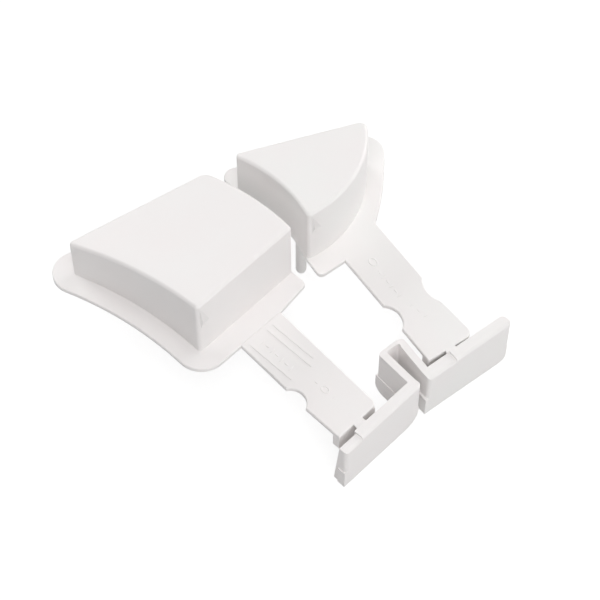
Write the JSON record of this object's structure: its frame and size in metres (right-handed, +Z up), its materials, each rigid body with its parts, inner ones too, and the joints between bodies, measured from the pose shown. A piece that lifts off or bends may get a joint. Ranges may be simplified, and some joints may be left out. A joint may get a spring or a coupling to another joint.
{
  "type": "twin push-key latch release",
  "caption": "Pair of hollow push-key caps on flat flexible arms, each hinged to a tall foot plate, with the feet joined by a U-shaped spring link.",
  "frame": {"origin": "middle of foot plate A's sole", "axes": "+Z up, away from the soles; +X along foot plate A towards foot plate B; +Y from the feet towards the key caps"},
  "size_m": [0.0969, 0.1026, 0.039],
  "materials": {
    "white_abs": "satin"
  },
  "bodies": {
    "foot_a": {"foot_a_plate": "white_abs", "link_wall_a": "white_abs", "link_web_a": "white_abs"},
    "foot_b": {"foot_b_plate": "white_abs", "link_wall_b": "white_abs", "link_web_b": "white_abs"},
    "key_a": {"key_a_cap": "white_abs", "key_a_flange": "white_abs", "key_a_arm": "white_abs", "key_a_heel": "white_abs", "key_a_neck": "white_abs", "key_a_post": "white_abs", "key_a_rib_left": "white_abs", "key_a_rib_right": "white_abs", "key_a_lines": "white_abs"},
    "key_b": {"key_b_cap": "white_abs", "key_b_flange": "white_abs", "key_b_arm": "white_abs", "key_b_heel": "white_abs", "key_b_neck": "white_abs", "key_b_post": "white_abs", "key_b_rib": "white_abs"}
  },
  "joints": [
    {"name": "key_a_press", "type": "hinge", "parent": "foot_a", "child": "key_a", "pos_m": [-0.00515, 0.00173, 0.0176], "axis": [1, 0, 0], "range_deg": [-6, 2], "stiffness_Nm_per_rad": 0.2},
    {"name": "key_b_press", "type": "hinge", "parent": "foot_b", "child": "key_b", "pos_m": [0.02822, 0.00022, 0.0176], "axis": [0.9817, -0.1903, 0], "range_deg": [-6, 2], "stiffness_Nm_per_rad": 0.2},
    {"name": "link_flex", "type": "hinge", "parent": "foot_a", "child": "foot_b", "pos_m": [0.01775, 0.01235, 0.009], "axis": [0, 0, 1], "range_deg": [-4, 4], "stiffness_Nm_per_rad": 0.5}
  ]
}
